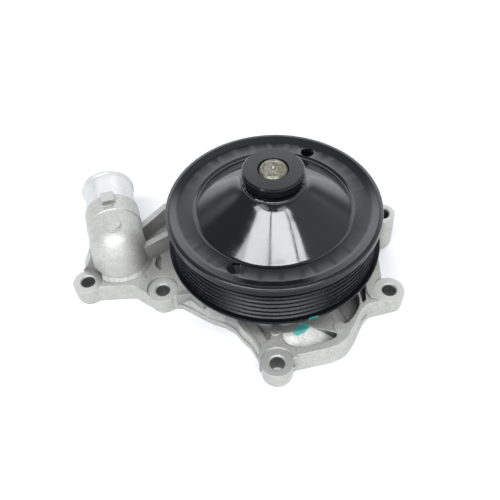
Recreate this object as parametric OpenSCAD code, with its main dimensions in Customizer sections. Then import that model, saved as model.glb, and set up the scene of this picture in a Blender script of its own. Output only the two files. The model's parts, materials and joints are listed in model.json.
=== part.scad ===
// Belt-driven coolant pump for a car engine.
// The frame's origin is on the shaft axis at the gasket plane. +Z points from the engine to the
// pulley, and -X points to the hose neck.

/* [Pulley] */
// Outer radius of the pulley's front lip
pulley_r = 62.5; // [58:0.5:64]
// Height of the front lip above the gasket plane
pulley_top = 67; // [66:0.5:70]
// Distance between neighbouring belt grooves (the PK belt profile)
groove_pitch = 3.56; // [3.4:0.02:3.6]
// Number of belt grooves
groove_count = 6; // [4:1:6]
// Radius of the two holes in the pulley's web
web_hole_r = 4; // [2:0.5:4.5]

/* [Shaft and bearing] */
// Shaft radius
shaft_r = 7.96; // [7.5:0.01:8]
// Outer radius of the bearing's outer ring
bearing_r = 15; // [14.5:0.1:16]
// Number of balls in the front row
ball_count = 8; // [6:1:9]
// Number of rollers in the rear row
roller_count = 10; // [8:1:11]

/* [Housing] */
// Height of the machined bolt bosses above the gasket plane
boss_top = 12.5; // [12:0.5:13]
// Radius of the fixing bolt holes
bolt_hole_r = 4.25; // [3.3:0.05:4.4]
// Outer radius of a fixing boss at its top
boss_r = 9.2; // [8:0.1:9.4]
// Radius of the circle that the bolts near the pulley lie on
bolt_circle_r = 72; // [71:0.5:73]

/* [Hose neck] */
// Outer radius of the hose spigot
spigot_r = 16; // [15:0.5:16.5]
// Radius of the coolant passage in the neck
neck_bore_r = 13; // [11:0.5:13.5]
// Length of the spigot that stands out of the casting
spigot_len = 24; // [20:1:30]

/* [Impeller] */
// Outer radius of the impeller
impeller_r = 35; // [30:1:36]
// Number of impeller vanes
vane_count = 7; // [5:1:9]

/* [Hidden] */
$fn = 96;
eps = 0.01;
// Clearance between two pieces that are pressed together.
press_gap = 0.02;

// Pulley heights and radii.
web_z = pulley_top - 1.6;
sheet_t = 2.4;
rim_bottom = pulley_top - 29.6;
rim_inner_r = pulley_r - 7;
first_groove_z = pulley_top - 8.8;
groove_depth = 2.1;
crest_r = pulley_r - 2;
dome_r = 44.6;
lip_inner_r = pulley_r - 7.8;
web_hole_place_r = 50.6;
web_hole_angle = 62;

// Hub.
hub_r = 17.4;
hub_top = pulley_top + 27.2;
hub_disc_t = 5.8;

// Bearing heights.
shaft_bottom = 1.6;
shaft_top = hub_top + 0.4;
bearing_bottom = 36;
bearing_top = 76;
ring_bore_r = 12;
row_r = 10;
ball_z = 65;
ball_r = 2.7;
race_gap = 0.08;
roller_z = 46.5;
roller_len = 11;
roller_r = 1.98;

// Housing heights and places.
cast_top = 14;
floor_z = 6.5;
front_top = 12.7;
pad_top = 13.3;
thin_edge_z = 4.5;
chamber_roof = 14.5;
channel_roof = 7.2;
left_pocket_floor = 8.3;
tower_top = bearing_top + 0.6;
seal_bore_r = 18.22;
seal_bore_top = 28;
weep_r = 14;
weep_hole_z = 31.5;
neck_x = -97.8;
neck_y = 10.5;
neck_z = 28;
neck_turn = 102.4;
neck_r = 16.9;
riser_foot_r = 18.8;
collar_r = 17.4;
collar_len = 14;
cast_end = 28.5;
seat_r = spigot_r - 0.5;
raised_boss_top = 34;
raised_boss_bottom = 6.4;
raised_boss_r = 8.3;
raised_web_end = bolt_circle_r - 5;

function on_circle(r, a) = [r * cos(a), r * sin(a)];
function arc_points(c, r, a0, a1, n) = [for (i = [0:n]) c + on_circle(r, a0 + (a1 - a0) * i / n)];
// Smooth curve between the first and the last control point, with n steps for each point.
function smooth_curve(p, n) =
    let (q = concat([p[0]], p, [p[len(p) - 1]]))
    [
        for (i = [1:len(p)])
            for (k = [0:n - (i < len(p) ? 1 : 0)])
                let (t = k / n)
                ((1 - t) * (1 - t) * q[i - 1] + (1 + 2 * t * (1 - t)) * q[i] + t * t * q[i + 1]) / 2
    ];

// Bolt places: the outer left ear, then the ones around the pulley.
ear_bolt = [-118, -5.6];
raised_bolt = on_circle(bolt_circle_r, 15.5);
low_bolts = [
    ear_bolt, on_circle(bolt_circle_r, 192.5), on_circle(bolt_circle_r, 267.5),
    on_circle(bolt_circle_r + 0.9, 340), on_circle(bolt_circle_r, 78), on_circle(bolt_circle_r, 139.5)
];

// ---------------------------------------------------------------- housing

// Edge of the thin flange along the scroll, on the front left.
scroll_edge = [
    [-60, -21.6], [-54, -25.3], [-48.4, -29.4], [-40.3, -34.8], [-32.3, -38.4], [-26.4, -42.8],
    [-22.3, -49.2], [-17.1, -55.6], [-13.6, -63]
];
// Outer edge of the front wall on the gasket plane, from the front boss to the right boss.
front_edge = [
    [-2, -71], [8, -70.6], [20, -68.4], [31, -66.4], [39, -62], [45, -52.4], [49.6, -43], [54, -37],
    [60, -35.4], [67, -34]
];

// Bar of the given width that starts at p and heads along the angle. Its side view is the
// profile, given as [distance along, height] points.
module bar(p, angle, width, profile) {
    translate([p[0], p[1], 0])
        rotate([90, 0, angle])
            translate([0, 0, -width / 2])
                linear_extrude(width)
                    polygon(profile);
}

// Ridge from point p to point q. Its section is given as [distance to the left, height] points.
module ridge(p, q, section) {
    d = q - p;
    translate([p[0], p[1], 0])
        rotate([90, 0, atan2(d[1], d[0]) + 90])
            linear_extrude(norm(d))
                polygon(section);
}

// Sector of a ring whose section is the polygon given as [radius, height] points.
module ring_sector(a0, a1, section) {
    rotate([0, 0, a0])
        rotate_extrude(angle = a1 - a0)
            polygon(section);
}

// Outline of the flange on the gasket plane, with filleted inner corners.
module flange_plan(fillet) {
    offset(r = -fillet, $fn = 40)
        offset(delta = fillet) {
            difference() {
                circle(r = 65.4);
                // The front left side is cut back along the scroll.
                polygon(concat([[-90, -24]], scroll_edge, [[-11.4, -72], [-13, -90], [-90, -90]]));
            }
            polygon(concat([[0, 0]], smooth_curve(front_edge, 3) * 0.99));
            for (b = low_bolts)
                translate(b)
                    circle(r = boss_r - 1.3);
            // Plate that carries the neck, out to the ear bolt and to the rear left bolt.
            polygon([
                [-119, -11.8], [-89, -11.8], [-78, -20], [-58, -21.4], [-40, 0], [-40, 46], [-50, 53.6],
                [-57.6, 56.2], [-64.4, 54.4], [-90, 24], [-98, 29.6], [-117, 12], [-124.4, -2]
            ]);
            translate([neck_x, neck_y])
                circle(r = riser_foot_r + 1.6);
        }
}

// Cover over the volute and the tower that carries the bearing.
module volute_cover_and_tower() {
    rotate_extrude()
        polygon([
            [0, 0], [49.3, 0], [49.3, thin_edge_z + 0.2], [48.6, thin_edge_z + 1.8], [44.5, 17.4],
            [42.5, 19], [26.5, 20], [24, 22.5], [21, 42], [20.3, tower_top - 1], [19.3, tower_top],
            [0, tower_top]
        ]);
}

// Land inside the front wall, drafted on the outside, with three pockets sunk into it.
module front_land() {
    difference() {
        linear_extrude(front_top, scale = 0.963)
            polygon(concat(smooth_curve(front_edge, 4), [[62, -20], [42, -10], [12, -40], [-10, -41],
                [-12, -66]]));
        // Pocket on the left, between the scroll ridge and the front boss.
        translate([0, 0, left_pocket_floor])
            linear_extrude(cast_top)
                polygon([
                    [-24, -30], [-4.8, -30], [-4.9, -47], [-5.9, -56.2], [-7, -57.4], [-8.3, -57],
                    [-16, -44]
                ]);
        // Middle pocket, whose floor falls towards the outer wall.
        intersection() {
            linear_extrude(cast_top + 2)
                polygon(concat(
                    smooth_curve([
                        [0.5, -38], [1, -50], [1.6, -58.6], [8.5, -62.8], [17, -62.2], [26, -60],
                            [32.4, -57.4],
                        [33, -54.4]
                    ], 4),
                    [[17.8, -48.5], [11.4, -46.2], [8, -38]]
                ));
            ring_sector(-100, -50, [[66.4, 4.6], [52.3, 12.2], [36, 12.2], [36, 20], [66.4, 20]]);
        }
        // Right pocket.
        translate([0, 0, 2])
            linear_extrude(cast_top)
                polygon(concat(
                    [[22, -26], [29.2, -39.8]],
                    smooth_curve([
                        [31.6, -46.2], [38, -48.6], [41.8, -46.6], [47.6, -38.6], [49.6, -33.5], [49.5, -28]
                    ], 4),
                    [[46, -18]]
                ));
        // Narrow pocket next to the right boss.
        translate([0, 0, floor_z])
            linear_extrude(cast_top)
                polygon([[50.4, -20], [50.6, -29], [50.9, -33], [51.6, -33.6], [53.4, -31.6],
                    [54, -25.6], [54.6, -20]]);
    }
    // Floor of the right pocket falls away to the right.
    ridge([29.4, -34], [35.4, -50], [[-3, 0], [-3, 11.6], [0.4, 11.2], [8.6, 5.4], [8.6, 0]]);
}

// Slopes that rise from the thin edge on the front left, and the ridge along the scroll.
module scroll_slopes() {
    intersection() {
        linear_extrude(cast_top + 2)
            translate([0.35, 0.5])
                polygon(concat([[-66, -12]], scroll_edge, [[-9, -66], [2, -60], [2, -20], [-40, 6]]));
        union() {
            ridge([-69.2, -17.3], [-22.6, -45.6], [[0, 0], [0, 4.6], [14, 13.2], [26, 13.2], [26, 0]]);
            ridge(
                [-27, -34.8], [-12.6, -63.6],
                [[-9.4, 0], [-9.4, 4.7], [-1.4, 13], [1.6, 13], [2.4, 12.5], [7.5, 12.3], [7.5, 0]]
            );
        }
    }
}

// Everything between the gasket plane and the ribs: floors, outer wall and plate.
module flange_body() {
    linear_extrude(thin_edge_z)
        flange_plan(6);
    front_land();
    scroll_slopes();
    // Floor of the pockets on the right and the rear.
    ring_sector(-27, 200, [[40, 0], [64.6, 0], [64.6, floor_z], [40, floor_z]]);
    // Outer wall around the right and the rear.
    ring_sector(-25, 146, [[59.6, 0], [66.6, 0], [65.8, boss_top - 1.2], [65, boss_top - 0.4],
        [60.2, boss_top - 0.4]]);
    // Roof of the outlet channel, where it leaves the volute.
    ring_sector(140, 198, [[40, 0], [61, 0], [61, boss_top], [40, boss_top]]);
    difference() {
        // Plate under the neck at the full cast height.
        linear_extrude(cast_top)
            intersection() {
                flange_plan(6);
                polygon([
                    [-140, -40], [-66, -40], [-61.6, -21.4], [-57.6, -21.4], [-53.2, -20.9], [-49, -25],
                    [-45.2, -28.2], [-41, -26], [-44, -2], [-56, 4], [-56, 70], [-140, 70]
                ]);
            }
        // Curved pocket between the neck's foot and the pulley.
        translate([0, 0, channel_roof + 1.6])
            linear_extrude(cast_top)
                polygon(concat(
                    smooth_curve([
                        [-78.9, 22], [-76.2, 14.4], [-75.4, 9], [-76.2, 4.4], [-74.6, 0.8], [-71.8, -0.9]
                    ], 4),
                    [[-72.2, 9], [-73.6, 14.6], [-73.6, 22]]
                ));
    }
}

// One fixing boss, before drilling: a drafted post.
module boss_post(p) {
    translate([p[0], p[1], 0])
        rotate_extrude()
            polygon([[0, 0], [boss_r - 0.9, 0], [boss_r - 0.4, 0.8], [boss_r, boss_top], [0, boss_top]]);
}

// Raised lands behind the bosses, which the spot facing leaves standing as crescents.
module boss_lands() {
    rotate([0, 0, 78])
        linear_extrude(pad_top)
            polygon([[54, -4.6], [57, -7.6], [62, -9.8], [69, -8.4], [69, 8.4], [62, 9.8], [57, 7.6],
                [54, 4.6]]);
    // Front boss, and the rib that runs inwards from it.
    linear_extrude(pad_top)
        polygon([
            [-13.2, -70], [-13.4, -64.4], [-11.6, -60.4], [-8, -57.6], [-5.7, -56.6], [-4.8, -50],
                [-4.6, -40],
            [0.3, -40], [0.9, -50], [1.4, -57.6], [3, -60.4], [7.4, -63.4], [8.6, -67], [8.4, -70]
        ]);
    // Right boss.
    linear_extrude(pad_top + 0.2)
        polygon([
            [54.6, -26], [56.2, -30.6], [61, -32.2], [65, -29], [65.4, -14.4], [66, -3], [65.8, 3.4],
                [58, 3],
            [57, -8], [55, -20]
        ]);
}

// Ejector pads on the front lands.
module ejector_pads() {
    for (p = [[-2.7, -50.9, 14.1], [34.8, -50.4, 13.5]])
        translate([p[0], p[1], 0])
            cylinder(h = p[2], r1 = 3.9, r2 = 3.3);
}

// Walls that tie the neck to the rear left boss and to the cover.
module neck_ribs() {
    bar([-90, 19.4], 49.5, 4, [[0, 3], [0, 27], [33, 27], [42.6, 17], [42.6, 3]]);
    bar([-86, 5.7], 33, 4, [[0, 3], [0, 27.6], [46, 27.6], [64, 16], [64, 3]]);
    // Gusset between the ear boss and the neck.
    bar([-120.6, 5.4], 14, 6.4, [[0, 3], [0, cast_top + 0.6], [5.4, 26.2], [13, 26.2], [13, 3]]);
    // Short witness ribs at the foot of the neck.
    bar([-86.9, -0.8], -44.5, 1.6, [[0, 3], [0, cast_top + 0.7], [7.6, cast_top + 0.7], [7.6, 3]]);
    bar([-105.1, -3], -95, 1.2, [[0, 3], [0, cast_top + 0.6], [5.4, cast_top + 0.6], [5.4, 3]]);
}

// The cast elbow: an upright foot, a rounded corner and the level tube with its collar.
module neck_elbow() {
    translate([neck_x, neck_y, 0]) {
        rotate_extrude()
            polygon([
                [0, 0], [riser_foot_r + 1, 0], [riser_foot_r + 1, cast_top + 0.4],
                [riser_foot_r - 0.6, cast_top + 2.6], [neck_r + 0.4, neck_z], [0, neck_z]
            ]);
        translate([0, 0, neck_z])
            sphere(r = neck_r + 0.4);
        translate([0, 0, neck_z])
            rotate([90, 0, neck_turn + 90]) {
                cylinder(h = cast_end - collar_len, r1 = neck_r + 0.2, r2 = neck_r);
                translate([0, 0, cast_end - collar_len])
                    rotate_extrude()
                        polygon([
                            [0, -0.6], [neck_r, -0.6], [collar_r, 0], [collar_r, collar_len - 0.8],
                            [collar_r - 0.8, collar_len], [0, collar_len]
                        ]);
                // Small lug on top of the collar, the low rib behind it and the round ejector pad.
                translate([-4, collar_r - 2, cast_end - 8.6])
                    cube([8, 4.6, 7.8]);
                translate([-2.1, collar_r - 1, cast_end - 11.6])
                    cube([6, 1.5, 1.2]);
                translate([0, neck_r - 1, 0.8])
                    rotate([-90, 0, 0])
                        cylinder(h = 1.75, r = 4.9);
            }
    }
}

// The raised boss on the right stands clear of the gasket plane on a web from the cover.
module raised_boss() {
    bar([0, 0], 15.5, 8, [[40, 3], [40, 26], [raised_web_end, 26], [raised_web_end, 9], [63, 9], [63, 3]]);
    translate([raised_bolt[0], raised_bolt[1], raised_boss_bottom])
        rotate_extrude()
            polygon([
                [0, 0], [raised_boss_r - 3, 0], [raised_boss_r - 1.3, 0.9], [raised_boss_r - 0.4, 2.6],
                [raised_boss_r - 0.1, 5], [raised_boss_r - 0.4, raised_boss_top - raised_boss_bottom],
                [0, raised_boss_top - raised_boss_bottom]
            ]);
}

// Through hole with a chamfer at its top end.
module bolt_hole(p, z0, z1) {
    translate([p[0], p[1], z0 - 1])
        cylinder(h = z1 - z0 + 2, r = bolt_hole_r);
    translate([p[0], p[1], z1 - 0.8])
        cylinder(h = 1.6, r1 = bolt_hole_r, r2 = bolt_hole_r + 1.6);
}

// All hollow spaces: volute, outlet channel, neck passage, seal, weep and bearing bores.
module housing_hollows() {
    translate([2, 2, -1])
        cylinder(h = chamber_roof + 1, r = 39);
    // Outlet channel from the volute to the neck.
    translate([0, 0, -1])
        linear_extrude(channel_roof + 1)
            polygon([[-97.8, -0.5], [-60, 1], [-36, -6], [-30, 30], [-60, 20], [-97.8, 21.5]]);
    translate([neck_x, neck_y, -1])
        cylinder(h = neck_z + 1, r = neck_bore_r);
    translate([neck_x, neck_y, neck_z]) {
        sphere(r = neck_bore_r);
        rotate([90, 0, neck_turn + 90]) {
            cylinder(h = cast_end + 1, r = neck_bore_r);
            translate([0, 0, cast_end - collar_len + 2])
                cylinder(h = collar_len, r = seat_r + press_gap);
        }
    }
    // Seal bore with a seat for the seal's flange.
    translate([0, 0, chamber_roof - 1])
        cylinder(h = 2.3, r = 21);
    translate([0, 0, chamber_roof])
        cylinder(h = seal_bore_top - chamber_roof, r = seal_bore_r);
    translate([0, 0, seal_bore_top - 1])
        cylinder(h = bearing_bottom - seal_bore_top + 1, r = weep_r);
    translate([0, 0, bearing_bottom - 0.2])
        cylinder(h = bearing_top, r = bearing_r + press_gap);
    // Weep hole, out of the side of the tower.
    translate([0, 0, weep_hole_z])
        rotate([0, 90, -60])
            cylinder(h = 40, r = 2.2);
}

module pump_housing() {
    color("#b9bab8")
        difference() {
            union() {
                flange_body();
                volute_cover_and_tower();
                boss_lands();
                ejector_pads();
                neck_ribs();
                neck_elbow();
                raised_boss();
                for (b = low_bolts)
                    boss_post(b);
            }
            housing_hollows();
            for (b = low_bolts) {
                bolt_hole(b, 0, boss_top);
                translate([b[0], b[1], boss_top])
                    cylinder(h = 6, r = boss_r + 0.5);
            }
            bolt_hole(raised_bolt, raised_boss_bottom, raised_boss_top);
        }
}

// Machined tube pressed into the neck, with a shoulder at the casting and a bead that holds the hose.
module hose_spigot() {
    seat_len = collar_len - 2.2;
    shoulder = seat_len + 0.2;
    tube_end = shoulder + spigot_len;
    bead = tube_end - 2.6;
    color("#e3e4e4")
        translate([neck_x, neck_y, neck_z])
            rotate([90, 0, neck_turn + 90])
                translate([0, 0, cast_end - seat_len])
                    rotate_extrude()
                        polygon([
                            [neck_bore_r + 0.6, 0], [seat_r, 0], [seat_r, shoulder], [spigot_r, shoulder],
                            [spigot_r, bead - 3], [spigot_r + 0.5, bead - 1.8], [spigot_r + 1.1, bead - 0.8],
                            [spigot_r + 1.3, bead - 0.2], [spigot_r + 1.3, bead + 0.8],
                                [spigot_r + 1, bead + 1.4],
                            [spigot_r + 0.5, tube_end - 0.6], [spigot_r - 0.2, tube_end],
                            [neck_bore_r + 1, tube_end], [neck_bore_r + 0.6, tube_end - 0.5]
                        ]);
}

// ---------------------------------------------------------------- pulley

// Outer side of the belt grooves, from the top groove down, as [radius, height] points.
function groove_outline() = [
    for (i = [0:groove_count - 1])
        each let (z = first_groove_z - i * groove_pitch) [
            [crest_r, z + 1.5], [crest_r - groove_depth, z + 0.4],
            [crest_r - groove_depth, z - 0.4], [crest_r, z - 1.5]
        ]
];

// Front face of the pulley, from the hub out to the lip, as [radius, height] points.
function face_outline() = concat(
    smooth_curve([
        [hub_r - 1.9, web_z + 20.1], [hub_r - 0.9, web_z + 19.4], [hub_r + 0.6, web_z + 18],
        [hub_r + 2.2, web_z + 16.5], [21.8, web_z + 14.85], [26, web_z + 12.05], [30, web_z + 9.35],
        [34, web_z + 6.65], [38, web_z + 3.95], [41.4, web_z + 1.65], [43.4, web_z + 0.3],
        [dome_r - 0.1, web_z - 0.45], [dome_r + 0.8, web_z - 0.75], [dome_r + 1.7, web_z - 0.35],
        [dome_r + 2.3, web_z]
    ], 3),
    [[lip_inner_r, web_z], [lip_inner_r + 4.6, pulley_top - 0.2]],
    smooth_curve([
        [lip_inner_r + 5.2, pulley_top - 0.02], [pulley_r - 1.5, pulley_top + 0.02],
            [pulley_r - 0.5, pulley_top - 0.2],
        [pulley_r, pulley_top - 1.1], [pulley_r, pulley_top - 2]
    ], 3),
    [
        [pulley_r, pulley_top - 4.2], [pulley_r - 0.3, pulley_top - 4.7], [pulley_r - 1.1, pulley_top - 5.1],
        [pulley_r - 1.2, pulley_top - 6.4]
    ]
);

// Rear side of the sheet, from the rim back to the hub.
function back_outline() = [
    [pulley_r + 0.5, rim_bottom + 1.6], [pulley_r + 0.9, rim_bottom + 1.1],
        [pulley_r + 0.9, rim_bottom + 0.4],
    [pulley_r + 0.5, rim_bottom], [rim_inner_r + 0.6, rim_bottom], [rim_inner_r, rim_bottom + 0.6],
    [rim_inner_r, web_z - sheet_t - 1.4], [rim_inner_r - 1.4, web_z - sheet_t], [dome_r, web_z - sheet_t],
    [42.2, web_z - 1.4], [39.6, web_z + 0.6], [36.6, web_z + 2.6], [32.6, web_z + 5.3], [28.6, web_z + 7.9],
    [24.6, web_z + 10.5], [20.8, web_z + 12.7], [hub_r - 1.2, web_z + 14.4], [hub_r - 1.9, web_z + 15.4]
];

module pulley() {
    color("#26272b")
        difference() {
            rotate_extrude()
                polygon(concat(face_outline(), groove_outline(), back_outline()));
            for (side = [0, 180])
                rotate([0, 0, web_hole_angle + side])
                    translate([web_hole_place_r, 0, web_z - 6])
                        cylinder(h = 12, r = web_hole_r);
        }
}

module pulley_hub() {
    color("#2b2c30")
        rotate_extrude()
            polygon([
                [shaft_r + press_gap, web_z + 13], [12.6, web_z + 13], [13.4, web_z + 13.8],
                [hub_r - 1.95, web_z + 16.2], [hub_r - 1.95, web_z + 20.6],
                    [hub_r - 1.6, hub_top - hub_disc_t - 0.6],
                [hub_r - 0.6, hub_top - hub_disc_t], [hub_r, hub_top - hub_disc_t + 0.8],
                [hub_r, hub_top - 0.9], [hub_r - 0.9, hub_top], [shaft_r + 0.75, hub_top],
                [shaft_r + press_gap, hub_top - 1.3]
            ]);
}

// ---------------------------------------------------------------- shaft and bearing

module shaft() {
    color("#a8a79b")
        difference() {
            rotate_extrude()
                polygon([
                    [0, shaft_bottom], [shaft_r - 0.8, shaft_bottom], [shaft_r, shaft_bottom + 0.8],
                    [shaft_r, shaft_top - 1], [shaft_r - 1, shaft_top], [5.6, shaft_top],
                        [5.2, shaft_top - 0.4],
                    [3.2, shaft_top - 0.4], [2.9, shaft_top], [1.5, shaft_top], [0, shaft_top - 1.4]
                ]);
            translate([0, 0, ball_z])
                rotate_extrude()
                    translate([row_r, 0])
                        circle(r = ball_r + race_gap);
        }
}

module bearing_outer_ring() {
    color("#b4b6b8")
        difference() {
            rotate_extrude()
                polygon([
                    [ring_bore_r, bearing_bottom], [bearing_r - 0.6, bearing_bottom],
                        [bearing_r, bearing_bottom + 0.6],
                    [bearing_r, bearing_top - 0.6], [bearing_r - 0.6, bearing_top],
                        [ring_bore_r, bearing_top]
                ]);
            translate([0, 0, ball_z])
                rotate_extrude()
                    translate([row_r, 0])
                        circle(r = ball_r + race_gap);
        }
}

module bearing_balls() {
    color("#d0d2d4")
        for (i = [0:ball_count - 1])
            rotate([0, 0, i * 360 / ball_count])
                translate([row_r, 0, ball_z])
                    sphere(r = ball_r);
}

module ball_cage() {
    color("#c9c2a5")
        difference() {
            translate([0, 0, ball_z - 3.6])
                difference() {
                    cylinder(h = 7.2, r = row_r + 0.9);
                    translate([0, 0, -1])
                        cylinder(h = 10, r = row_r - 0.9);
                }
            for (i = [0:ball_count - 1])
                rotate([0, 90, i * 360 / ball_count])
                    translate([-ball_z, 0, 5])
                        cylinder(h = 10, r = ball_r + 0.12);
        }
}

module bearing_rollers() {
    color("#cdcfd1")
        for (i = [0:roller_count - 1])
            rotate([0, 0, i * 360 / roller_count])
                translate([row_r - 0.02, 0, roller_z - roller_len / 2])
                    cylinder(h = roller_len, r = roller_r);
}

module roller_cage() {
    color("#c9c2a5")
        difference() {
            translate([0, 0, roller_z - roller_len / 2 - 2])
                difference() {
                    cylinder(h = roller_len + 4, r = row_r + 0.8);
                    translate([0, 0, -1])
                        cylinder(h = roller_len + 6, r = row_r - 0.8);
                }
            for (i = [0:roller_count - 1])
                rotate([0, 0, i * 360 / roller_count])
                    translate([row_r - 2, -roller_r - 0.12, roller_z - roller_len / 2 - 0.12])
                        cube([4, 2 * roller_r + 0.24, roller_len + 0.24]);
        }
}

// Lip seal of the bearing. Its lip leans outwards and stays just clear of the shaft.
module bearing_seal() {
    color("#3a2f2b")
        rotate_extrude()
            polygon([
                [shaft_r + 0.06, -0.1], [shaft_r + 0.5, -0.1], [shaft_r + 1.2, 0.3],
                    [ring_bore_r - press_gap, 0],
                [ring_bore_r - press_gap, 2], [shaft_r + 1.2, 1.7], [shaft_r + 0.5, 0.6],
                    [shaft_r + 0.06, 0.2]
            ]);
}

module bearing_seal_front() {
    translate([0, 0, bearing_top - 0.2])
        mirror([0, 0, 1])
            bearing_seal();
}

module bearing_seal_rear() {
    translate([0, 0, bearing_bottom + 0.2])
        bearing_seal();
}

// ---------------------------------------------------------------- mechanical seal

module seal_case() {
    color("#c3a95f")
        rotate_extrude()
            polygon([
                [11.4, 26.7], [17.25, 26.7], [17.25, 14.8], [20.6, 14.8], [20.6, 15.6],
                [seal_bore_r - press_gap, 15.6], [seal_bore_r - press_gap, 27.1], [17.8, 27.6], [11.4, 27.6]
            ]);
}

module seal_bellows() {
    color("#2a2a2a")
        rotate_extrude()
            polygon([
                [14.3, 17.8], [15.1, 17.8], [15.1, 21.2], [15.4, 22.2], [15.4, 23.2], [13.9, 24.4],
                [13.9, 25.2], [17.1, 25.2], [17.1, 26.6], [11.6, 26.6], [11.6, 25.4], [12.9, 24.8],
                [12.9, 23.8], [14.4, 22.9], [14.4, 22.4], [13.8, 21.7], [10.6, 21.7], [10.6, 20.7],
                    [14.3, 20.7]
            ]);
}

module seal_drive_band() {
    color("#b8babd")
        rotate_extrude()
            polygon([
                [15.15, 17.6], [16.9, 17.6], [16.9, 18.1], [15.6, 18.1], [15.5, 20.9], [15.15, 20.9]
            ]);
}

// Compression spring: one wire swept along a helix with flat closing ends.
spring_r = 16.35;
wire_r = 0.45;
spring_low = 18.65;
spring_high = 24.65;
spring_turns = 3.5;
spring_steps = 84;
wire_sides = 8;
function spring_z(t) =
    spring_low + (spring_high - spring_low) * (t < 0.15 ? 0 : t > 0.85 ? 1 : (t - 0.15) / 0.7);
function spring_point(i, j) =
    let (a = 360 * spring_turns * i / spring_steps)
    let (b = 360 * j / wire_sides)
    let (r = spring_r + wire_r * cos(b))
    [r * cos(a), r * sin(a), spring_z(i / spring_steps) + wire_r * sin(b)];

module seal_spring() {
    rings = [for (i = [0:spring_steps]) [for (j = [0:wire_sides - 1]) i * wire_sides + j]];
    sides = [
        for (i = [0:spring_steps - 1])
            for (j = [0:wire_sides - 1])
                let (k = (j + 1) % wire_sides)
                [rings[i][j], rings[i + 1][j], rings[i + 1][k], rings[i][k]]
    ];
    last = [for (j = [wire_sides - 1:-1:0]) rings[spring_steps][j]];
    color("#c8cacc")
        polyhedron(
            points = [for (i = [0:spring_steps]) for (j = [0:wire_sides - 1]) spring_point(i, j)],
            faces = concat([rings[0]], sides, [last])
        );
}

module seal_carbon_ring() {
    color("#3c3d40")
        rotate_extrude()
            polygon([
                [10.5, 16.3], [10.9, 16.26], [12.9, 16.26], [13.2, 16.5], [13.2, 17.6], [14.2, 17.6],
                [14.2, 20.6], [10.5, 20.6]
            ]);
}

module seal_mating_ring() {
    color("#6b6d70")
        rotate_extrude()
            polygon([
                [10.2, 13.45], [14.3, 13.45], [14.6, 13.75], [14.6, 15.9], [14.3, 16.2], [10.2, 16.2]
            ]);
}

module mating_ring_boot() {
    color("#2a2a2a")
        rotate_extrude()
            polygon([
                [shaft_r + press_gap, 12.5], [13.6, 12.5], [13.6, 13.4], [10.15, 13.4], [10.15, 15.8],
                [9.6, 16], [shaft_r + press_gap, 16]
            ]);
}

// Washer on the shaft that throws seal leakage into the weep cavity.
module water_slinger() {
    color("#b0b2b4")
        rotate_extrude()
            polygon([
                [shaft_r + press_gap, 31.2], [9.4, 31.2], [9.4, 31.8], [12.8, 31.8], [13, 32.4],
                [12.6, 32.6], [shaft_r + press_gap, 32.6]
            ]);
}

// ---------------------------------------------------------------- impeller

vane_low = 1.6;
plate_low = 10.4;
plate_top = 12.4;
bush_r = 10.5;

// A vane curved back from the hub to the rim, between two arcs.
module vane() {
    c = [-4, 24];
    polygon(concat(
        arc_points(c, 27.6, -64, 4, 12),
        arc_points(c, 25.4, 4, -64, 12)
    ));
}

module impeller() {
    color("#3f4245")
        difference() {
            union() {
                rotate_extrude()
                    polygon([
                        [bush_r + press_gap, 2.6], [12.2, 2.6], [12.8, 3.2], [14.4, 8.4], [17, plate_low],
                        [impeller_r - 0.4, plate_low], [impeller_r, plate_low + 0.4],
                            [impeller_r, plate_top - 0.4],
                        [impeller_r - 0.4, plate_top], [bush_r + press_gap, plate_top]
                    ]);
                translate([0, 0, vane_low])
                    linear_extrude(plate_low + 0.6 - vane_low)
                        intersection() {
                            for (i = [0:vane_count - 1])
                                rotate([0, 0, i * 360 / vane_count])
                                    vane();
                            difference() {
                                circle(r = impeller_r - 0.2);
                                circle(r = bush_r + 1);
                            }
                        }
            }
            for (i = [0:2])
                rotate([0, 0, i * 120 + 30])
                    translate([19, 0, plate_low - 3])
                        cylinder(h = 8, r = 1.6);
        }
}

module impeller_bush() {
    color("#b08d4a")
        rotate_extrude()
            polygon([
                [shaft_r + press_gap + 0.5, 2.6], [bush_r, 2.6], [bush_r, 12.1], [shaft_r + press_gap, 12.1],
                [shaft_r + press_gap, 3.1]
            ]);
}

// ---------------------------------------------------------------- nodes

pump_housing();
hose_spigot();
pulley();
pulley_hub();
shaft();
bearing_outer_ring();
bearing_balls();
ball_cage();
bearing_rollers();
roller_cage();
bearing_seal_front();
bearing_seal_rear();
seal_case();
seal_bellows();
seal_drive_band();
seal_spring();
seal_carbon_ring();
seal_mating_ring();
mating_ring_boot();
water_slinger();
impeller();
impeller_bush();
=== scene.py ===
import json
import math

import bpy
from mathutils import Matrix, Vector, noise


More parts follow.
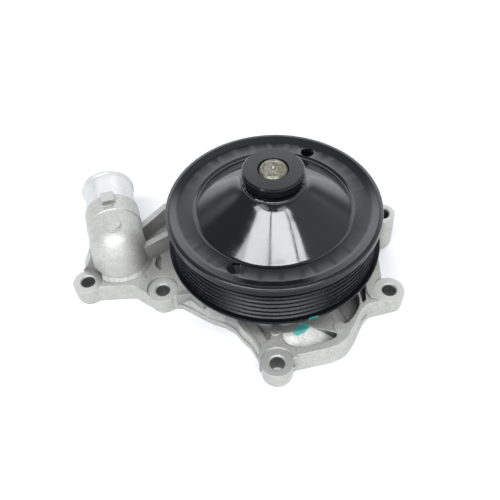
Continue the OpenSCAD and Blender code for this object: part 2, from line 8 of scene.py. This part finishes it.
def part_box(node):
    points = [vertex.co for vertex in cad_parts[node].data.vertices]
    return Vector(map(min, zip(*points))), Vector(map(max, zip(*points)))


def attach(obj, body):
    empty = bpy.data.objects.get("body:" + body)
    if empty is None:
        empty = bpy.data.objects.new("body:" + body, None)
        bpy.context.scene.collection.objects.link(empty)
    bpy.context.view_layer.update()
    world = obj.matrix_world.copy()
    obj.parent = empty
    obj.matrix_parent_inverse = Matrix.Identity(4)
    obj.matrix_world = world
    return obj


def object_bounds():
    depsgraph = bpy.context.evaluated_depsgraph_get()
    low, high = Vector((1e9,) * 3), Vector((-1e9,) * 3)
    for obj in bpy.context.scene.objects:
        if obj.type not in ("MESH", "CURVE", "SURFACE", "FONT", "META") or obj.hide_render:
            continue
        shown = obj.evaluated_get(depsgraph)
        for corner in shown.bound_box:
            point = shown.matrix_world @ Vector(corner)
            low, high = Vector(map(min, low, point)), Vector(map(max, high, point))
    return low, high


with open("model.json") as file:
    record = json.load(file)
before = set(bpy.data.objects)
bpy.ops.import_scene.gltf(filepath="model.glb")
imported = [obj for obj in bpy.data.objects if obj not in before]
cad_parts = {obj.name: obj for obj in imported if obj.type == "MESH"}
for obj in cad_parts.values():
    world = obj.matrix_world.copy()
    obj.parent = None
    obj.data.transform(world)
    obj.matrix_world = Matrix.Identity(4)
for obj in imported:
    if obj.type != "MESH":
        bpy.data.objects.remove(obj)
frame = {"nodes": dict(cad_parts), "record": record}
nodes = frame["nodes"]
cad_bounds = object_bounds()
scene = bpy.context.scene
mounts = {mount["name"]: mount for mount in frame["record"]["mounts"]}
MM = 0.001
TEAL = (0.03, 0.34, 0.32)
STUDIO_WHITE = (0.955, 0.98, 1.0)

# Heights and radii of the pulley and its hub, in millimetres, worked out from their CAD boxes.
pulley_low, pulley_high = (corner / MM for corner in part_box("pulley"))
hub_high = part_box("pulley_hub")[1] / MM
shaft_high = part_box("shaft")[1] / MM
SHAFT_TOP = shaft_high.z
FLANGE_Z = pulley_low.z
LIP_Z = FLANGE_Z + 29.6
WEB_Z = LIP_Z - 1.6
LIP_R = pulley_high.x - 0.9
CREST_R = LIP_R - 2
HUB_TOP = hub_high.z
HUB_R = hub_high.x
WELD_R = HUB_R - 0.8
WELD_Z = WEB_Z + 18.8

# Machining marks of the housing, in millimetres. The record's bores end at the foot of their countersinks.
FACING_R = 9.7
COUNTERSINK = 0.8
DRILL_MARGIN = 0.1
CAST_METALLIC = 0.68

# Round places where the painted shade in the hollows of the housing is left out: x, y, inner and outer
# radius, strength.
UNSHADED_HOLLOWS = ((-3, -52, 10, 16, 0.9), (20, -49, 5, 9, 0.8), (-79, 12, 18, 30, 0.5))


# ---------------------------------------------------------------- shader helpers


class Nodes:
    """Short ways to add nodes to a shader tree."""

    def __init__(self, tree, coordinates):
        self.tree = tree
        self.coordinates = self.node("ShaderNodeTexCoord").outputs[coordinates]
        self.axis_sockets = {}

    def node(self, kind, **values):
        made = self.tree.nodes.new(kind)
        for key, value in values.items():
            setattr(made, key, value)
        return made

    def put(self, socket, value):
        """Links a socket to a source socket, or sets it to a constant."""
        if isinstance(value, bpy.types.NodeSocket):
            self.tree.links.new(value, socket)
        else:
            socket.default_value = value

    def math(self, operation, a, b=0.0, clamp=False):
        made = self.node("ShaderNodeMath", operation=operation, use_clamp=clamp)
        for socket, value in zip(made.inputs, (a, b)):
            self.put(socket, value)
        return made.outputs[0]

    def add(self, a, b):
        return self.math("ADD", a, b)

    def times(self, a, b):
        return self.math("MULTIPLY", a, b)

    def ramp(self, value, low, high, out_low=0.0, out_high=1.0):
        """Maps low..high smoothly to out_low..out_high."""
        made = self.node("ShaderNodeMapRange", interpolation_type="SMOOTHSTEP")
        limits = {"From Min": low, "From Max": high, "To Min": out_low, "To Max": out_high}
        for name, number in limits.items():
            self.put(made.inputs[name], number)
        self.put(made.inputs["Value"], value)
        return made.outputs["Result"]

    def axes(self, scale=1.0):
        """The coordinates as three sockets, divided by the scale."""
        if scale not in self.axis_sockets:
            scaled = self.node("ShaderNodeVectorMath", operation="SCALE")
            self.put(scaled.inputs[0], self.coordinates)
            scaled.inputs["Scale"].default_value = 1 / scale
            split = self.node("ShaderNodeSeparateXYZ")
            self.put(split.inputs[0], scaled.outputs["Vector"])
            self.axis_sockets[scale] = tuple(split.outputs)
        return self.axis_sockets[scale]

    def blend(self, factor, a, b):
        """Mixes two numbers by a factor."""
        made = self.node("ShaderNodeMix", data_type="FLOAT")
        for socket, value in zip((made.inputs[0], made.inputs[2], made.inputs[3]), (factor, a, b)):
            self.put(socket, value)
        return made.outputs[0]

    def mix(self, factor, a, b):
        """Mixes two colours by a factor."""
        made = self.node("ShaderNodeMix", data_type="RGBA")
        self.put(made.inputs["Factor"], factor)
        colours = [s for s in made.inputs if s.type == "RGBA"]
        for socket, value in zip(colours, (a, b)):
            self.put(socket, value if isinstance(value, bpy.types.NodeSocket) else (*value, 1))
        return [s for s in made.outputs if s.type == "RGBA"][0]


class Finish(Nodes):
    """A material with one Principled shader."""

    def __init__(self, name, color, metallic=0.0, roughness=0.5, ior=1.5):
        self.material = bpy.data.materials.new(name)
        self.material.use_nodes = True
        super().__init__(self.material.node_tree, "Object")
        self.shader = self.tree.nodes["Principled BSDF"]
        self.set("Base Color", (*color, 1))
        self.set("Metallic", metallic)
        self.set("Roughness", roughness)
        self.set("IOR", ior)
        self.normal = None

    def set(self, name, value):
        self.put(self.shader.inputs[name], value)

    def noise(self, size_mm, detail=3.0, rough=0.5, stretch=None, distortion=0.0):
        """Noise with features of about that size. stretch shrinks them along each axis."""
        source = self.coordinates
        if stretch is not None:
            mapping = self.node("ShaderNodeMapping")
            self.put(mapping.inputs["Vector"], source)
            mapping.inputs["Scale"].default_value = stretch
            source = mapping.outputs["Vector"]
        made = self.node("ShaderNodeTexNoise")
        self.put(made.inputs["Vector"], source)
        made.inputs["Scale"].default_value = 1 / (size_mm * MM)
        made.inputs["Detail"].default_value = detail
        made.inputs["Roughness"].default_value = rough
        made.inputs["Distortion"].default_value = distortion
        return made.outputs["Fac"]

    def cells(self, size_mm):
        """Distance to the nearest of scattered points about that far apart."""
        made = self.node("ShaderNodeTexVoronoi")
        self.put(made.inputs["Vector"], self.coordinates)
        made.inputs["Scale"].default_value = 1 / (size_mm * MM)
        return made.outputs["Distance"]

    def place(self):
        """The shaded point as x, y and z sockets in millimetres."""
        return self.axes(MM)

    def radius(self, x=0.0, y=0.0):
        """Distance from an upright axis."""
        px, py, _ = self.place()
        dx = self.math("SUBTRACT", px, x)
        dy = self.math("SUBTRACT", py, y)
        return self.math("SQRT", self.add(self.times(dx, dx), self.times(dy, dy)))

    def disc(self, x, y, inner, outer, strength=1.0):
        """A mask of that strength around an upright axis, fading out between two radii."""
        return self.ramp(self.radius(x, y), inner, outer, strength, 0)

    def waves(self, distance, pitch, wobble=0.0):
        """Fine lines of that pitch across a distance, as left by a tool."""
        if wobble:
            distance = self.add(distance, self.times(self.noise(1.5), wobble))
        return self.math("SINE", self.times(distance, 2 * math.pi / pitch))

    def patch(self, x, y, length, width, turn, ragged=0.35):
        """1 inside a ragged ellipse in plan, 0 outside."""
        px, py, _ = self.place()
        dx, dy = self.math("SUBTRACT", px, x), self.math("SUBTRACT", py, y)
        c, s = math.cos(math.radians(turn)), math.sin(math.radians(turn))
        u = self.times(self.add(self.times(dx, c), self.times(dy, s)), 2 / length)
        v = self.times(self.add(self.times(dx, -s), self.times(dy, c)), 2 / width)
        reach = self.add(self.times(u, u), self.times(v, v))
        reach = self.add(reach, self.times(self.noise(2.2, detail=4, rough=0.6), 4 * ragged))
        return self.ramp(reach, 1 + 2 * ragged - 0.12, 1 + 2 * ragged + 0.12, 1, 0)

    def soften(self, edge_mm):
        """Rounds the shading of edges, and returns a mask of them."""
        soft = self.node("ShaderNodeBevel", samples=6)
        soft.inputs["Radius"].default_value = edge_mm * MM
        self.normal = soft.outputs["Normal"]
        self.set("Normal", self.normal)
        flat = self.node("ShaderNodeNewGeometry").outputs["Normal"]
        turned = self.node("ShaderNodeVectorMath", operation="DOT_PRODUCT")
        self.put(turned.inputs[0], self.normal)
        self.put(turned.inputs[1], flat)
        return self.ramp(turned.outputs["Value"], 0.8, 0.97, 1, 0)

    def openness(self, reach_mm):
        """1 on open surfaces, falling to 0 deep in the piece's own hollows."""
        made = self.node("ShaderNodeAmbientOcclusion", samples=8, only_local=True)
        made.inputs["Distance"].default_value = reach_mm * MM
        return made.outputs["AO"]

    def bump(self, height, depth_mm, strength=1.0):
        """Adds relief on top of what is there."""
        made = self.node("ShaderNodeBump")
        self.put(made.inputs["Strength"], strength)
        made.inputs["Distance"].default_value = depth_mm * MM
        self.put(made.inputs["Height"], height)
        if self.normal is not None:
            self.put(made.inputs["Normal"], self.normal)
        self.normal = made.outputs["Normal"]
        self.set("Normal", self.normal)

    def use_on(self, *names):
        for name in names:
            mesh = nodes[name].data
            mesh.materials.clear()
            mesh.materials.append(self.material)


# ---------------------------------------------------------------- cast housing


def machining_masks(f):
    """Masks of the faced surfaces and of the drilled holes, and the tool's lines on the faces."""
    _, _, z = f.place()
    faced, drilled, lines = 0.0, 0.0, 0.0
    for name, mount in mounts.items():
        if not name.startswith("bolt_"):
            continue
        x, y, middle = (value / MM for value in mount["pos_m"])
        top = middle + mount["dims"]["length_mm"] / 2 + COUNTERSINK
        drill_r = mount["dims"]["r_mm"] + DRILL_MARGIN
        away = f.radius(x, y)
        level = f.ramp(f.math("ABSOLUTE", f.math("SUBTRACT", z, top)), 0.06, 0.12, 1, 0)
        here = f.times(f.ramp(away, FACING_R, FACING_R + 0.1, 1, 0), level)
        faced = f.add(faced, here)
        lines = f.add(lines, f.times(here, f.waves(away, 0.62, 0.3)))
        drilled = f.add(drilled, f.ramp(away, drill_r, drill_r + 0.05, 1, 0))
    gasket = f.ramp(z, 0.02, 0.06, 1, 0)
    faced = f.math("MINIMUM", f.add(faced, gasket), 1)
    # The gasket face was milled in wide arcs around a point beside the part.
    lines = f.add(lines, f.times(gasket, f.waves(f.radius(40, -260), 0.9, 0.2)))
    return faced, drilled, lines


def as_cast_color(f, mottle, grain, edges):
    """Mottled grey with light and dark grains, small pits, and a painted highlight along the edges."""
    color = f.mix(f.ramp(mottle, 0.32, 0.68), (0.43, 0.425, 0.405), (0.475, 0.47, 0.45))
    color = f.mix(f.ramp(grain, 0.52, 0.68, 0, 0.4), color, (0.66, 0.66, 0.64))
    color = f.mix(f.ramp(grain, 0.32, 0.48, 0.4, 0), color, (0.27, 0.268, 0.26))
    pits = f.times(f.ramp(f.cells(3.1), 0.05, 0.11, 1, 0), f.ramp(f.noise(14), 0.52, 0.6))
    color = f.mix(f.times(pits, 0.6), color, (0.16, 0.16, 0.155))
    # Convex and concave edges are lightened in colour: a painted highlight.
    return f.mix(f.times(edges, 0.5), color, (0.82, 0.82, 0.80))


def with_painted_shade(f, color, shade_under_pulley):
    """Paints shade into a colour: under the pulley, in hollows, beside the pulley and on the front left
    slope.
    """
    x, y, z = f.place()
    # Painted shade under the pulley: a dark, non-metallic colour on the cover.
    color = f.mix(shade_under_pulley, color, (0.05, 0.05, 0.048))
    # Painted shade darkens the hollows of the housing, except in a few round places.
    spared = 0.0
    for place in UNSHADED_HOLLOWS:
        spared = f.math("MAXIMUM", spared, f.disc(*place))
    hollow_shade = f.times(f.ramp(f.openness(16), 0.3, 0.85, 0.85, 0), f.math("SUBTRACT", 1, spared))
    color = f.mix(hollow_shade, color, (0.09, 0.09, 0.09))
    # Painted shade on the bars and the side of the neck that face the pulley, between two planes across x.
    pulley_side_shade = f.times(f.ramp(x, -88, -79, 0, 0.42), f.ramp(x, -66, -60, 1, 0))
    pulley_side_shade = f.times(f.times(pulley_side_shade, f.ramp(y, 24, 34, 1, 0.4)), f.ramp(z, 12, 16))
    color = f.mix(pulley_side_shade, color, (0.1, 0.1, 0.1))
    # Painted shade on the front left slope, which lies in the pulley's shadow.
    slope_shade = f.times(f.patch(-41, -32, 46, 19, -33, ragged=0.1), f.ramp(z, 4.7, 5.2))
    return f.mix(f.times(slope_shade, 0.55), color, (0.22, 0.225, 0.22))


def cast_finish():
    """As-cast aluminium: sand grain, soft lumps, faint mottling, and bright faces where it is machined."""
    f = Finish("cast_aluminium", (0.46, 0.455, 0.44), metallic=CAST_METALLIC, roughness=0.52)
    edges = f.soften(0.45)
    _, _, z = f.place()
    mottle = f.noise(5, detail=6, rough=0.7)
    grain = f.noise(0.8, detail=2, rough=0.6)
    faced, drilled, lines = machining_masks(f)
    # Painted shade darkens the cover under the pulley, and a dab of paint lies on the ribs in front.
    shade_under_pulley = f.times(f.disc(0, 0, 50, 56, 0.92), f.ramp(z, 13.6, 14.6))
    dab = f.patch(12.4, -49.8, 11, 5.6, 36)

    color = as_cast_color(f, mottle, grain, edges)
    color = f.mix(f.times(faced, 0.9), color, (0.50, 0.495, 0.48))
    color = f.mix(f.times(drilled, 0.6), color, (0.42, 0.42, 0.41))
    color = with_painted_shade(f, color, shade_under_pulley)
    f.set("Base Color", f.mix(f.times(dab, 0.92), color, TEAL))
    f.set("Metallic", f.blend(f.math("MAXIMUM", dab, shade_under_pulley), CAST_METALLIC, 0))
    rough = f.blend(faced, f.ramp(mottle, 0.3, 0.7, 0.6, 0.5), 0.46)
    f.set("Roughness", f.blend(drilled, rough, 0.4))

    untouched = f.math("SUBTRACT", 1, faced, clamp=True)
    f.bump(f.noise(2.6, detail=2), 0.2, f.times(untouched, 0.8))
    f.bump(grain, 0.12, f.times(untouched, 0.9))
    # A faint groove around the ejector pad on top of the neck.
    ring = f.ramp(f.math("ABSOLUTE", f.math("SUBTRACT", f.radius(-97.2, 10.9), 4.9)), 0.25, 0.6, 1, 0)
    f.bump(f.times(ring, f.ramp(z, 40, 41)), -0.25)
    f.bump(lines, 0.012, 0.7)
    f.bump(f.waves(z, 0.5, 0.4), 0.01, f.times(drilled, 0.6))
    f.use_on("pump_housing")


cast_finish()


# ---------------------------------------------------------------- machined and painted pieces


def spigot_finish():
    """Turned aluminium: fine lines around the tube, and faint handling marks."""
    f = Finish("machined_aluminium", (0.6, 0.605, 0.61), metallic=0.6, roughness=0.42)
    x, y, _ = f.place()
    ax, ay, _ = mounts["hose_bead"]["axis"]
    along = f.add(f.times(x, ax), f.times(y, ay))
    marks = f.noise(3.5, detail=6, rough=0.7)
    f.set("Base Color", f.mix(f.ramp(marks, 0.35, 0.7), (0.53, 0.535, 0.54), (0.62, 0.625, 0.63)))
    f.set("Roughness", f.ramp(marks, 0.35, 0.65, 0.38, 0.48))
    f.bump(f.waves(along, 0.5), 0.004, 0.6)
    f.use_on("hose_spigot")


def paint_finish():
    """Black electrocoat over spun steel: glossy and a little wavy on the face, duller around the grooves."""
    f = Finish("black_paint", (0.0035, 0.0038, 0.0055), roughness=0.1, ior=1.52)
    f.soften(0.25)
    _, _, z = f.place()
    away = f.radius()
    rim = f.times(f.ramp(away, LIP_R - 5.5, LIP_R - 4), f.ramp(z, LIP_Z - 1.8, LIP_Z - 0.6, 1, 0))
    under = f.ramp(z, LIP_Z - 6, LIP_Z - 4, 1, 0)
    web = f.times(f.ramp(away, LIP_R - 16, LIP_R - 14.5), f.ramp(z, WEB_Z - 1.4, WEB_Z - 0.4))
    hub_face = f.ramp(z, HUB_TOP - 0.6, HUB_TOP - 0.3, 0, 0.65)
    rim_or_under = f.math("MAXIMUM", rim, under)

    dust = f.times(f.ramp(f.cells(1.6), 0.03, 0.07, 1, 0), f.ramp(f.noise(6), 0.5, 0.62))
    color = f.mix(f.times(dust, 0.10), (0.004, 0.004, 0.0052), (0.3, 0.3, 0.3))
    color = f.mix(web, color, (0.006, 0.0063, 0.008))
    # A painted highlight lightens the crests between the grooves, in patches.
    crests = f.times(f.ramp(away, CREST_R - 0.4, CREST_R - 0.05), f.ramp(z, LIP_Z - 6.5, LIP_Z - 6, 1, 0))
    crests = f.times(crests, f.ramp(away, CREST_R + 0.1, CREST_R + 0.3, 1, 0))
    crest_sheen = f.times(crests, f.ramp(f.noise(1.2, detail=5, rough=0.7), 0.45, 0.7))
    color = f.mix(f.times(crest_sheen, 0.35), color, (0.09, 0.09, 0.095))
    # The same teal paint has left a faint streak on the lower flange.
    low = f.ramp(z, FLANGE_Z + 1.8, FLANGE_Z + 2.4, 1, 0)
    streak = f.times(f.patch(18.2, -60.9, 6.5, 1.7, 14), low)
    f.set("Base Color", f.mix(f.times(streak, 0.35), color, TEAL))

    smears = f.noise(11, detail=4, rough=0.6, distortion=0.6)
    gloss = f.ramp(smears, 0.35, 0.7, 0.075, 0.14)
    f.set("Roughness", f.blend(f.math("MAXIMUM", rim_or_under, f.times(web, 0.4)), gloss, 0.24))
    f.set("Specular IOR Level", f.blend(f.math("MAXIMUM", rim_or_under, hub_face), 0.5, 0.14))
    f.bump(f.noise(4.5, detail=1), 0.012, 0.7)
    f.bump(f.noise(0.9, detail=2), 0.004, 0.8)
    f.use_on("pulley", "pulley_hub")
    return f.material


def shaft_finish():
    """Ground steel, lightly oiled, with turned rings on its end."""
    f = Finish("shaft_steel", (0.2, 0.19, 0.16), metallic=0.9, roughness=0.45)
    _, _, z = f.place()
    away = f.radius()
    stain = f.noise(3, detail=6, rough=0.65)
    f.set("Base Color", f.mix(f.ramp(stain, 0.38, 0.66), (0.13, 0.125, 0.095), (0.27, 0.265, 0.225)))
    f.set("Roughness", f.ramp(stain, 0.35, 0.7, 0.34, 0.5))
    f.bump(f.waves(away, 0.55, 0.3), 0.02, f.ramp(z, SHAFT_TOP - 0.6, SHAFT_TOP - 0.5))
    f.bump(f.noise(0.5, stretch=(1, 1, 6)), 0.008)
    f.use_on("shaft")


def bearing_steel_finish():
    """Hardened and polished steel with very fine grinding marks."""
    f = Finish("bearing_steel", (0.6, 0.61, 0.62), metallic=1, roughness=0.18)
    haze = f.noise(2.4, detail=5, rough=0.6)
    f.set("Base Color", f.mix(haze, (0.54, 0.55, 0.56), (0.66, 0.67, 0.68)))
    f.set("Roughness", f.ramp(haze, 0.3, 0.7, 0.12, 0.26))
    f.bump(f.noise(0.25, stretch=(1, 1, 8)), 0.004)
    f.use_on("bearing_outer_ring", "bearing_balls", "bearing_rollers", "water_slinger")


def cage_finish():
    """Natural polyamide, creamy and slightly cloudy, with a moulded skin."""
    f = Finish("cage_polyamide", (0.62, 0.56, 0.42), roughness=0.48)
    cloud = f.noise(4, detail=4)
    f.set("Base Color", f.mix(cloud, (0.56, 0.49, 0.34), (0.68, 0.62, 0.48)))
    f.set("Roughness", f.ramp(cloud, 0.3, 0.7, 0.42, 0.58))
    f.bump(f.noise(0.35, detail=3), 0.02)
    f.use_on("ball_cage", "roller_cage")


def rubber_finish(name, dark, pale, pieces):
    """Moulded rubber with a dusty bloom and a fine skin texture."""
    f = Finish(name, dark, roughness=0.7)
    bloom = f.noise(2.2, detail=6, rough=0.7)
    f.set("Base Color", f.mix(f.ramp(bloom, 0.45, 0.75), dark, pale))
    f.set("Roughness", f.ramp(bloom, 0.3, 0.7, 0.62, 0.85))
    f.bump(f.noise(0.22, detail=2), 0.015)
    f.bump(f.waves(f.radius(), 1.1), 0.02, 0.4)
    f.use_on(*pieces)


def brass_finish():
    """Drawn brass sheet with draw lines and patches of tarnish."""
    f = Finish("seal_brass", (0.62, 0.48, 0.22), metallic=1, roughness=0.33)
    tarnish = f.noise(4, detail=6, rough=0.68)
    f.set("Base Color", f.mix(f.ramp(tarnish, 0.5, 0.72), (0.66, 0.51, 0.23), (0.36, 0.24, 0.11)))
    f.set("Roughness", f.ramp(tarnish, 0.4, 0.7, 0.26, 0.5))
    f.bump(f.noise(0.5, stretch=(2.5, 2.5, 0.2)), 0.012)
    f.use_on("seal_case", "impeller_bush")


def spring_finish():
    """Stainless wire and sheet with lengthwise drawing lines."""
    f = Finish("spring_steel", (0.66, 0.67, 0.68), metallic=1, roughness=0.26)
    streaks = f.noise(0.3, detail=4, stretch=(0.4, 0.4, 3))
    f.set("Base Color", f.mix(streaks, (0.56, 0.57, 0.58), (0.72, 0.73, 0.74)))
    f.set("Roughness", f.ramp(streaks, 0.3, 0.7, 0.18, 0.36))
    f.bump(streaks, 0.008)
    f.use_on("seal_spring", "seal_drive_band")


def lapped_finish(name, dark, pale, roughness, grain_mm, piece):
    """Hard seal ring: fine grains, and lapping lines around the axis."""
    f = Finish(name, dark, roughness=roughness, ior=1.7)
    grains = f.cells(grain_mm)
    f.set("Base Color", f.mix(f.ramp(grains, 0.15, 0.55), pale, dark))
    f.set("Roughness", f.ramp(f.noise(1.6, detail=4), 0.3, 0.7, roughness - 0.08, roughness + 0.1))
    f.bump(f.waves(f.radius(), 0.3, 0.1), 0.003)
    f.bump(grains, 0.008)
    f.use_on(piece)


def impeller_finish():
    """Glass-filled plastic: short pale fibres under the skin and faint flow marks."""
    f = Finish("impeller_plastic", (0.045, 0.047, 0.05), roughness=0.45)
    fibres = f.noise(0.5, detail=3, stretch=(0.25, 1.8, 1), distortion=1.5)
    flow = f.noise(12, detail=3, distortion=1.2)
    base = f.mix(flow, (0.034, 0.036, 0.04), (0.062, 0.064, 0.067))
    f.set("Base Color", f.mix(f.ramp(fibres, 0.6, 0.75, 0, 0.4), base, (0.16, 0.16, 0.155)))
    f.set("Roughness", f.ramp(flow, 0.3, 0.7, 0.38, 0.56))
    f.bump(fibres, 0.015)
    f.use_on("impeller")


spigot_finish()
paint = paint_finish()
shaft_finish()
bearing_steel_finish()
cage_finish()
face_seal_rubber = ("seal_bellows", "mating_ring_boot")
rubber_finish("seal_rubber", (0.016, 0.016, 0.017), (0.055, 0.055, 0.056), face_seal_rubber)
bearing_seals = ("bearing_seal_front", "bearing_seal_rear")
rubber_finish("bearing_seal_rubber", (0.05, 0.026, 0.018), (0.10, 0.06, 0.045), bearing_seals)
brass_finish()
spring_finish()
lapped_finish("seal_carbon", (0.03, 0.03, 0.032), (0.075, 0.075, 0.08), 0.5, 0.35, "seal_carbon_ring")
lapped_finish("silicon_carbide", (0.08, 0.085, 0.09), (0.2, 0.205, 0.215), 0.28, 0.5, "seal_mating_ring")
impeller_finish()


# ---------------------------------------------------------------- smooth shading


def smoothing_group(angle_deg):
    """Geometry nodes that join a mesh's faces and shade them smooth up to that angle."""
    tree = bpy.data.node_groups.new("smooth_by_angle", "GeometryNodeTree")
    tree.interface.new_socket("Geometry", in_out="INPUT", socket_type="NodeSocketGeometry")
    tree.interface.new_socket("Geometry", in_out="OUTPUT", socket_type="NodeSocketGeometry")
    start = tree.nodes.new("NodeGroupInput")
    end = tree.nodes.new("NodeGroupOutput")
    weld = tree.nodes.new("GeometryNodeMergeByDistance")
    weld.inputs["Distance"].default_value = 1e-6
    angle = tree.nodes.new("GeometryNodeInputMeshEdgeAngle")
    below = tree.nodes.new("ShaderNodeMath")
    below.operation = "LESS_THAN"
    below.inputs[1].default_value = math.radians(angle_deg)
    faces = tree.nodes.new("GeometryNodeSetShadeSmooth")
    edges = tree.nodes.new("GeometryNodeSetShadeSmooth")
    edges.domain = "EDGE"
    tree.links.new(start.outputs[0], weld.inputs["Geometry"])
    tree.links.new(weld.outputs["Geometry"], faces.inputs["Geometry"])
    tree.links.new(faces.outputs["Geometry"], edges.inputs["Geometry"])
    tree.links.new(angle.outputs["Unsigned Angle"], below.inputs[0])
    tree.links.new(below.outputs[0], edges.inputs["Shade Smooth"])
    tree.links.new(edges.outputs["Geometry"], end.inputs[0])
    return tree


def shade_smooth(cad_node, group):
    """Gives a CAD node smooth normals in place of those that it was imported with."""
    imported = cad_node.data.attributes.get("custom_normal")
    if imported is not None:
        cad_node.data.attributes.remove(imported)
    cad_node.modifiers.new("smooth", "NODES").node_group = group
    # Large flat faces keep their own normal where a small rounding meets them.
    weights = cad_node.modifiers.new("weights", "WEIGHTED_NORMAL")
    weights.mode = "FACE_AREA"
    weights.weight = 95
    weights.keep_sharp = True


smoothing = smoothing_group(24)
for cad_node in nodes.values():
    shade_smooth(cad_node, smoothing)


# ---------------------------------------------------------------- weld bead


def weld_bead():
    """The weld between hub and pulley: a lumpy bead with overlapping ripples, painted over."""
    around, across = 300, 18
    points, faces = [], []
    for i in range(around):
        angle = 2 * math.pi * i / around
        # 26 ripples around, unevenly spaced.
        ripple = 1 - abs(math.sin(angle * 13 + 1.9 * math.sin(angle * 3 + 0.7)))
        lump = noise.noise(Vector((math.cos(angle) * 3, math.sin(angle) * 3, 0.3)))
        for j in range(across):
            turn = 2 * math.pi * j / across
            crinkle = noise.noise(Vector((math.cos(angle) * 22, math.sin(angle) * 22, turn * 1.5)))
            size = 1.6 + 0.35 * lump + 0.16 * ripple + 0.10 * crinkle
            away = WELD_R + 0.3 * lump + size * math.cos(turn)
            z = WELD_Z + size * math.sin(turn)
            points.append((away * math.cos(angle) * MM, away * math.sin(angle) * MM, z * MM))
    for i in range(around):
        near, far = i * across, (i + 1) % around * across
        for j in range(across):
            after = (j + 1) % across
            faces.append((near + j, far + j, far + after, near + after))
    mesh = bpy.data.meshes.new("weld_bead")
    mesh.from_pydata(points, [], faces)
    mesh.polygons.foreach_set("use_smooth", [True] * len(faces))
    mesh.materials.append(paint)
    bead = bpy.data.objects.new("weld_bead", mesh)
    scene.collection.objects.link(bead)
    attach(bead, "rotor")


weld_bead()


# ---------------------------------------------------------------- studio

# The floor lies just under the gasket face, so that the two faces don't meet.
floor_mesh = bpy.data.meshes.new("floor")
floor_mesh.from_pydata([(-4, -4, 0), (4, -4, 0), (4, 6, 0), (-4, 6, 0)], [], [(0, 1, 2, 3)])
floor = bpy.data.objects.new("floor", floor_mesh)
scene.collection.objects.link(floor)
floor.location.z = cad_bounds[0].z - 0.0001
# Far from the part the floor glows, so that it stays evenly white.
paper = Finish("paper", (0.72, 0.725, 0.735), roughness=0.9)
paper.set("Roughness", paper.ramp(paper.noise(40), 0.3, 0.7, 0.85, 0.95))
paper.set("Emission Color", (1, 1, 1, 1))
paper.set("Emission Strength", paper.ramp(paper.radius(), 350, 1100, 0.04, 1.2))
floor_mesh.materials.append(paper.material)


PANEL_Z = 1.1


def softbox(name, x0, x1, y0, y1, radiance):
    """A level light panel over the part that shines straight down."""
    data = bpy.data.lights.new(name, "AREA")
    data.shape = "RECTANGLE"
    data.size = x1 - x0
    data.size_y = y1 - y0
    data.energy = radiance * math.pi * data.size * data.size_y
    data.color = STUDIO_WHITE
    light = bpy.data.objects.new(name, data)
    scene.collection.objects.link(light)
    light.location = ((x0 + x1) / 2, (y0 + y1) / 2, PANEL_Z)


# Panels of one large softbox, with its cross bars between them, as (x0, x1, y0, y1, radiance), in metres.
PANELS = (
    (-0.96, -0.60, -0.64, -0.35, 11),
    (-0.60, -0.14, -0.62, -0.31, 17),
    (-0.10, 0.40, -0.62, -0.40, 18),
    (0.445, 0.59, -0.64, -0.39, 16),
    (-0.88, -0.30, -0.84, -0.66, 4),
    (0.16, 0.60, -0.84, -0.66, 5),
)
for index, panel in enumerate(PANELS):
    softbox(f"softbox_{index}", *panel)

# The room around: brighter to the right, with a glowing wall behind the part and another in front of it. The
# sky is read by direction: side points right, depth away from the camera, height up, each from -1 to 1.
world = bpy.data.worlds.new("studio")
world.use_nodes = True
scene.world = world
sky = Nodes(world.node_tree, "Generated")
side, depth, height = sky.axes()
room = sky.ramp(side, -0.4, 0.6, 0.28, 0.85)
back_wall = sky.times(sky.ramp(height, 0.26, 0.6, 0.5, 3.0), sky.ramp(height, 0.65, 0.76, 1, 0.08))
front_wall = sky.times(sky.ramp(height, 0.1, 0.3, 1.0, 1.8), sky.ramp(height, 0.42, 0.64, 1, 0.25))
room = sky.blend(sky.ramp(depth, 0.35, 0.62), room, back_wall)
room = sky.blend(sky.ramp(depth, -0.7, -0.3, 1, 0), room, front_wall)
# Near and below the horizon everything is as bright as the floor.
level = sky.blend(sky.ramp(height, 0.05, 0.24), 1.8, room)
background = world.node_tree.nodes["Background"]
sky.put(background.inputs["Strength"], level)
sky.put(background.inputs["Color"], (*STUDIO_WHITE, 1))

# The camera looks down at the pump from the front, a little turned about its own axis.
CAMERA_PLACE = (-0.01499, -0.26858, 0.33842)
LENS = 47.81
SENSOR = 36
TILT = math.radians(49.1593)
ROLL = math.radians(3.1452)
right = Vector((1, 0, 0))
up = Vector((0, math.sin(TILT), math.cos(TILT)))
forward = Vector((0, math.cos(TILT), -math.sin(TILT)))
camera_x = math.cos(ROLL) * right - math.sin(ROLL) * up
camera_y = math.sin(ROLL) * right + math.cos(ROLL) * up
camera_data = bpy.data.cameras.new("camera")
camera_data.lens = LENS
camera_data.sensor_width = SENSOR
camera_data.clip_start = 0.01
camera = bpy.data.objects.new("camera", camera_data)
scene.collection.objects.link(camera)
camera_turn = Matrix((camera_x, camera_y, -forward)).transposed().to_4x4()
camera.matrix_world = Matrix.Translation(CAMERA_PLACE) @ camera_turn
scene.camera = camera
scene.view_settings.view_transform = "Standard"
